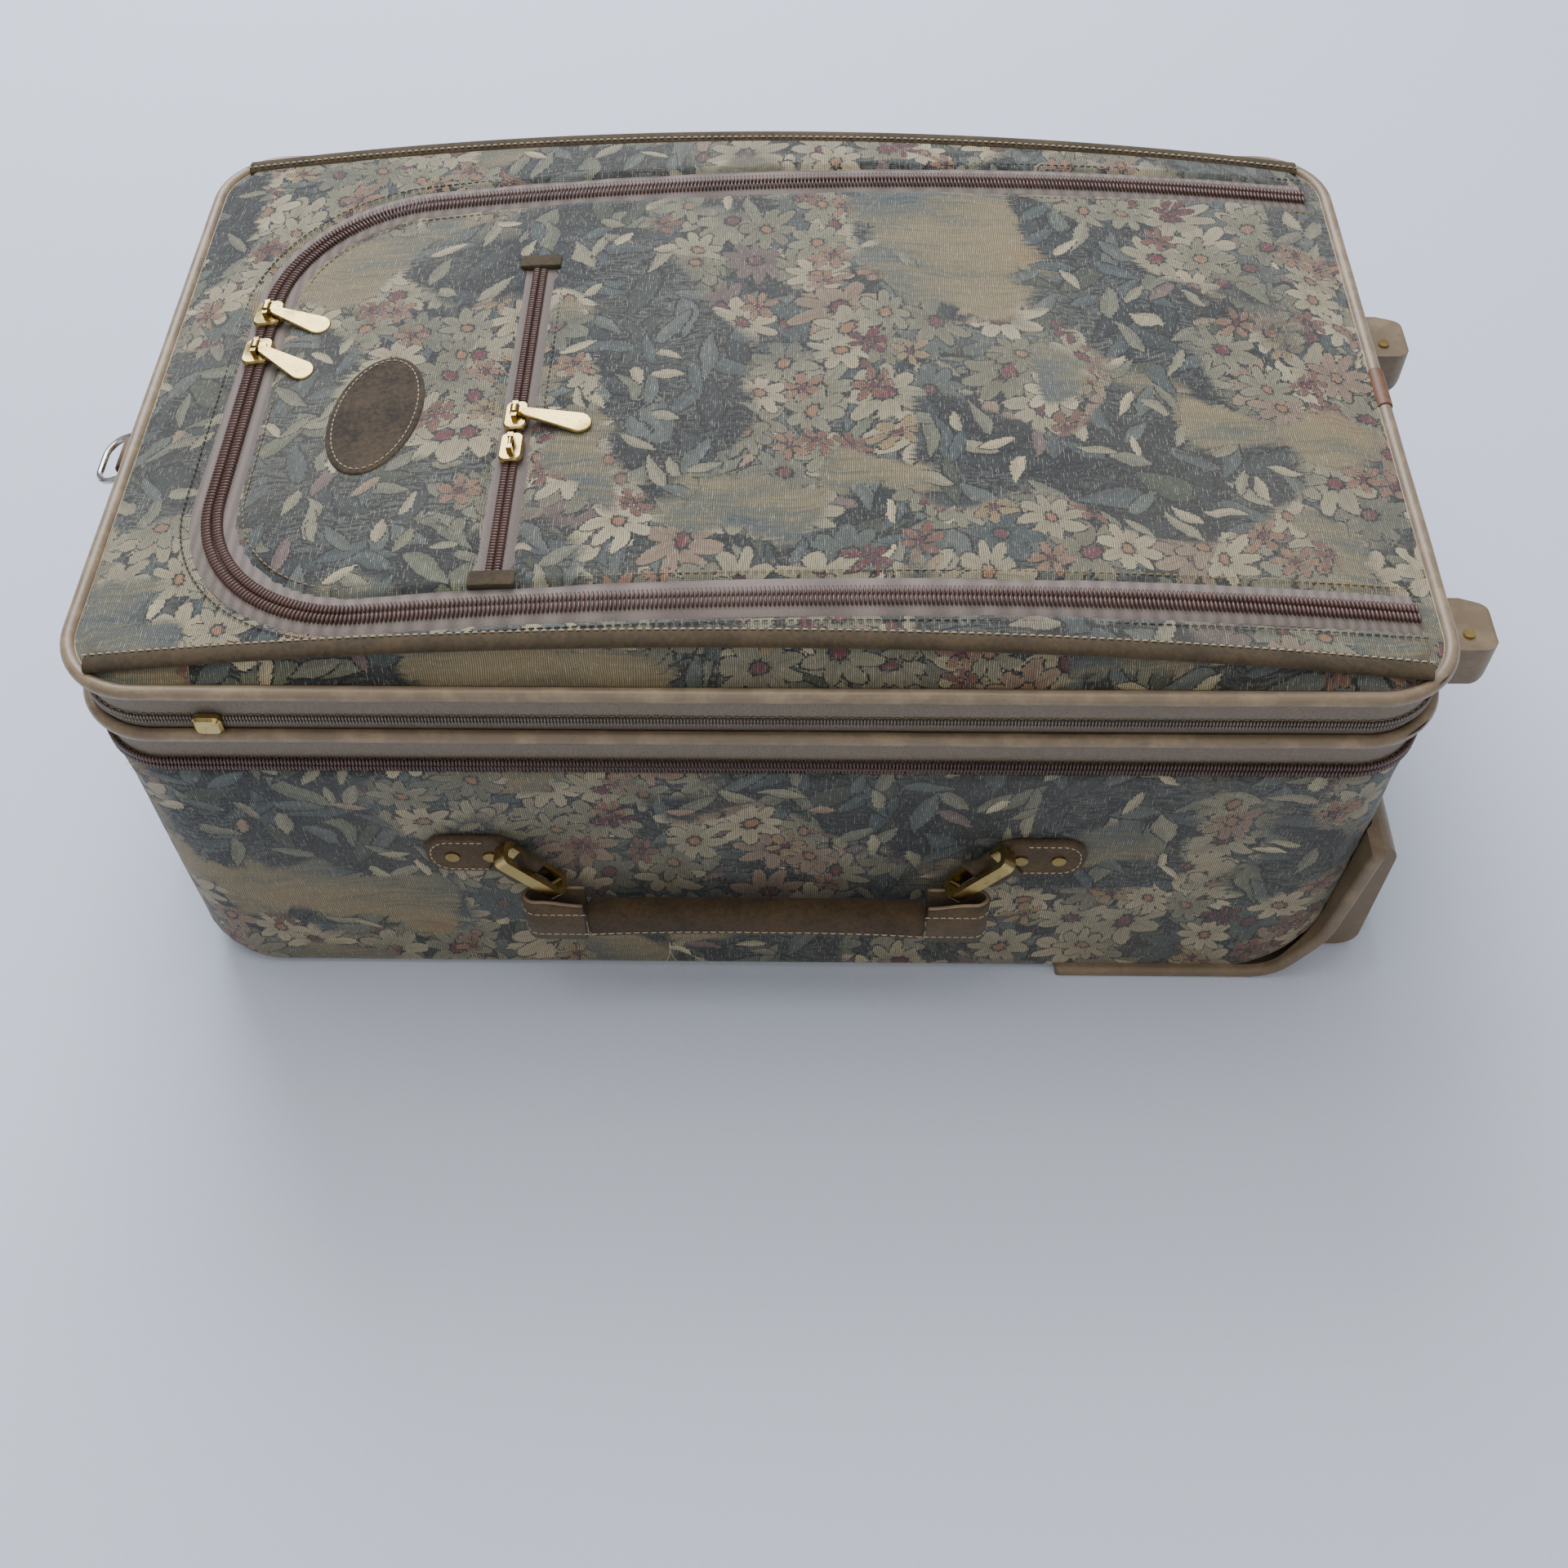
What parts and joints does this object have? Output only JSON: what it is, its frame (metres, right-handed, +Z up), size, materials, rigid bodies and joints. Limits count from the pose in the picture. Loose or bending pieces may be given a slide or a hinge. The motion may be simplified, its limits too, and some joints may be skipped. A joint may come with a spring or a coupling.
{
  "type": "rolling suitcase",
  "caption": "Soft carry-on suitcase in floral tapestry cloth lying on its back, with zipped lid and front pocket, suede carry handle, trolley handle and wheels.",
  "frame": {"origin": "centre of the back panel's flat outer face, with the case lying on its back", "axes": "+X from the top end (trolley handle) to the wheel end, +Y from the side with the carry handle to the hinge side, +Z up through the front pocket"},
  "size_m": [0.6326, 0.38, 0.2417],
  "materials": {
    "tapestry": "woven",
    "lining": "woven",
    "board": "matt",
    "channel": "satin",
    "moulded": "satin",
    "axle_steel": "brushed",
    "zip_tape": "woven",
    "brass": "polished",
    "suede": "napped",
    "grip_suede": "napped",
    "leather": "smooth",
    "webbing": "woven",
    "tyre": "matt",
    "tube": "satin",
    "grip_plastic": "matt",
    "button": "gloss",
    "piping": "satin",
    "sleeve": "worn",
    "nickel": "polished"
  },
  "bodies": {
    "case": {"case_shell": "tapestry", "case_lining": "lining", "back_board": "board", "trolley_channel_near": "channel", "trolley_channel_far": "channel", "trolley_bezel": "moulded", "corner_guard_near": "moulded", "corner_guard_far": "moulded", "wheel_axles": "axle_steel", "main_zip_case": "zip_tape", "hinge_strip": "lining", "foot_near": "moulded", "foot_far": "moulded", "foot_screws": "brass", "side_patches": "suede", "side_rings": "brass", "side_straps": "suede", "top_patches": "suede", "top_rings": "brass", "top_straps": "suede", "rivets": "brass", "packing_straps": "webbing"},
    "wheel_near": {"wheel_near": "tyre"},
    "wheel_far": {"wheel_far": "tyre"},
    "trolley": {"trolley_tube_near": "tube", "trolley_tube_far": "tube", "trolley_grip": "grip_plastic"},
    "trolley_button": {"trolley_button": "button"},
    "side_handle": {"side_grip": "grip_suede"},
    "top_handle": {"top_grip": "grip_suede"},
    "lid": {"main_zip_lid": "zip_tape", "piping_lower": "piping", "expansion_zip_lower": "zip_tape"},
    "front": {"expansion_zip_upper": "zip_tape", "expansion_gusset": "lining", "piping_upper": "piping", "piping_sleeve": "sleeve", "front_panel": "tapestry", "lid_lining": "lining", "binding_near": "suede", "binding_far": "suede", "pocket_zip": "zip_tape", "small_zip": "zip_tape", "zip_end_tabs": "grip_suede", "oval_patch": "grip_suede", "ring_tab": "leather"},
    "d_ring": {"d_ring": "nickel"},
    "main_slider_a": {"main_slider_a": "brass"},
    "main_slider_a_pull": {"main_slider_a_pull": "brass"},
    "main_slider_b": {"main_slider_b": "brass"},
    "main_slider_b_pull": {"main_slider_b_pull": "brass"},
    "pocket_slider_a": {"pocket_slider_a": "brass"},
    "pocket_slider_a_pull": {"pocket_slider_a_pull": "brass"},
    "pocket_slider_b": {"pocket_slider_b": "brass"},
    "pocket_slider_b_pull": {"pocket_slider_b_pull": "brass"},
    "small_slider_a": {"small_slider_a": "brass"},
    "small_slider_a_pull": {"small_slider_a_pull": "brass"},
    "small_slider_b": {"small_slider_b": "brass"},
    "expansion_slider": {"expansion_slider": "brass"}
  },
  "joints": [
    {"name": "wheel_near_spin", "type": "hinge", "parent": "case", "child": "wheel_near", "pos_m": [0.279, -0.1375, 0.027], "axis": [0, 1, 0], "continuous": true},
    {"name": "wheel_far_spin", "type": "hinge", "parent": "case", "child": "wheel_far", "pos_m": [0.279, 0.1375, 0.027], "axis": [0, 1, 0], "continuous": true},
    {"name": "trolley_slide", "type": "slide", "parent": "case", "child": "trolley", "axis": [-1, 0, 0], "range_m": [0, 0.4]},
    {"name": "trolley_button_press", "type": "slide", "parent": "trolley", "child": "trolley_button", "axis": [1, 0, 0], "range_m": [0, 0.003], "stiffness_N_per_m": 400},
    {"name": "side_handle_swing", "type": "hinge", "parent": "case", "child": "side_handle", "pos_m": [-0.002, -0.187, 0.101], "axis": [-1, 0, 0], "range_deg": [0, 95], "deforming": ["side_straps"]},
    {"name": "top_handle_swing", "type": "hinge", "parent": "case", "child": "top_handle", "pos_m": [-0.289, 0, 0.101], "axis": [0, 1, 0], "range_deg": [0, 95], "deforming": ["top_straps"]},
    {"name": "lid_open", "type": "hinge", "parent": "case", "child": "lid", "pos_m": [0, 0.1789, 0.166], "axis": [-1, 0, 0], "range_deg": [0, 165], "deforming": ["hinge_strip"]},
    {"name": "expansion", "type": "slide", "parent": "lid", "child": "front", "axis": [0, 0, 1], "range_m": [0, 0.038]},
    {"name": "d_ring_swing", "type": "hinge", "parent": "front", "child": "d_ring", "pos_m": [-0.2876, -0.034, 0.205], "axis": [0, 1, 0], "range_deg": [-60, 60]},
    {"name": "pocket_slider_a_slide", "type": "slide", "parent": "front", "child": "pocket_slider_a", "axis": [0, 1, 0], "range_m": [-0.006, 0]},
    {"name": "pocket_slider_a_pull_swing", "type": "hinge", "parent": "pocket_slider_a", "child": "pocket_slider_a_pull", "pos_m": [-0.23302, 0.041, 0.22837], "axis": [0, -1, 0], "range_deg": [0, 160]},
    {"name": "pocket_slider_b_slide", "type": "slide", "parent": "front", "child": "pocket_slider_b", "axis": [0, 1, 0], "range_m": [-0.085, 0.002]},
    {"name": "pocket_slider_b_pull_swing", "type": "hinge", "parent": "pocket_slider_b", "child": "pocket_slider_b_pull", "pos_m": [-0.23302, 0.014, 0.22837], "axis": [0, -1, 0], "range_deg": [0, 160]},
    {"name": "small_slider_a_slide", "type": "slide", "parent": "front", "child": "small_slider_a", "axis": [0, 1, 0], "range_m": [0, 0.09]},
    {"name": "small_slider_a_pull_swing", "type": "hinge", "parent": "small_slider_a", "child": "small_slider_a_pull", "pos_m": [-0.10624, -0.041, 0.23906], "axis": [0, -1, 0], "range_deg": [0, 160]},
    {"name": "small_slider_b_slide", "type": "slide", "parent": "front", "child": "small_slider_b", "axis": [0, 1, 0], "range_m": [-0.06, 0]},
    {"name": "expansion_slider_slide", "type": "slide", "parent": "front", "child": "expansion_slider", "axis": [1, 0, 0], "range_m": [0, 0.43]},
    {"name": "main_slider_a_slide", "type": "slide", "parent": "case", "child": "main_slider_a", "axis": [0, -1, 0], "range_m": [0, 0.11]},
    {"name": "main_slider_a_pull_swing", "type": "hinge", "parent": "main_slider_a", "child": "main_slider_a_pull", "pos_m": [-0.2851, -0.016, 0.166], "axis": [0, 1, 0], "range_deg": [0, 160]},
    {"name": "main_slider_b_slide", "type": "slide", "parent": "case", "child": "main_slider_b", "axis": [0, 1, 0], "range_m": [0, 0.11]},
    {"name": "main_slider_b_pull_swing", "type": "hinge", "parent": "main_slider_b", "child": "main_slider_b_pull", "pos_m": [-0.2851, 0.016, 0.166], "axis": [0, 1, 0], "range_deg": [0, 160]}
  ]
}
